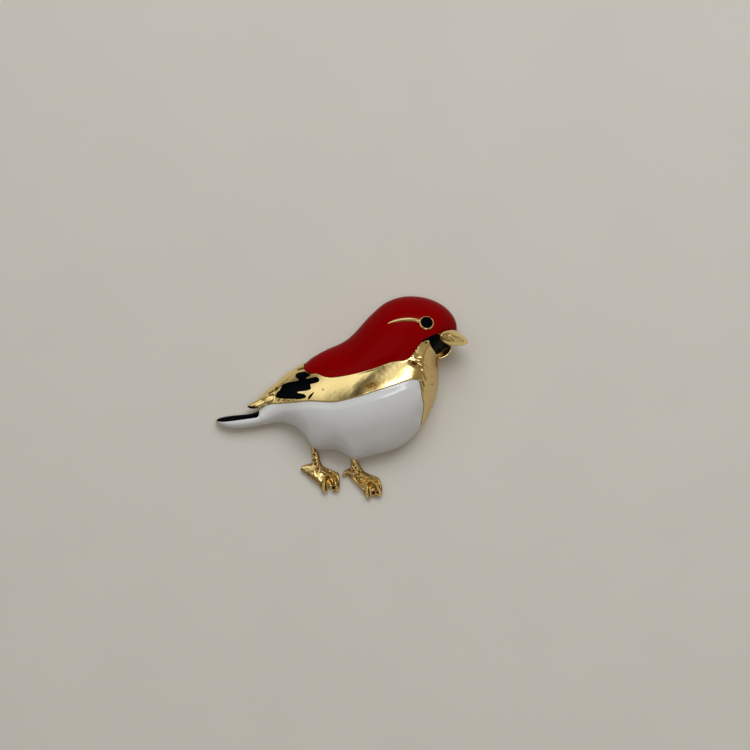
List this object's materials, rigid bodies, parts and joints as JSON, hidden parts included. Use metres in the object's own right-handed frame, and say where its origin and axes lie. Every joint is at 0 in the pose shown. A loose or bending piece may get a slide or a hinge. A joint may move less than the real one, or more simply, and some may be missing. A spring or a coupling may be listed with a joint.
{
  "type": "figural animal brooch",
  "caption": "Small bird brooch: a hollow gold-plated casting with red, white and black enamel, a domed eye, and a pin across its open back.",
  "frame": {"origin": "under the middle of the brooch's box, on the surface that it lies on", "axes": "+X towards the beak, +Y towards the crown, +Z out of the enamelled face"},
  "size_m": [0.04, 0.0322, 0.0082],
  "materials": {
    "gold_plate": "polished, plated",
    "red_enamel": "glossy",
    "white_enamel": "glossy",
    "black_enamel": "glossy",
    "pin_metal": "satin"
  },
  "bodies": {
    "root": {"casting": "gold_plate", "red_enamel": "red_enamel", "white_enamel": "white_enamel", "wing_enamel": "black_enamel", "bib_enamel": "black_enamel", "tail_enamel": "black_enamel", "eye_enamel": "black_enamel", "pin_fitting": "pin_metal"}
  },
  "joints": []
}
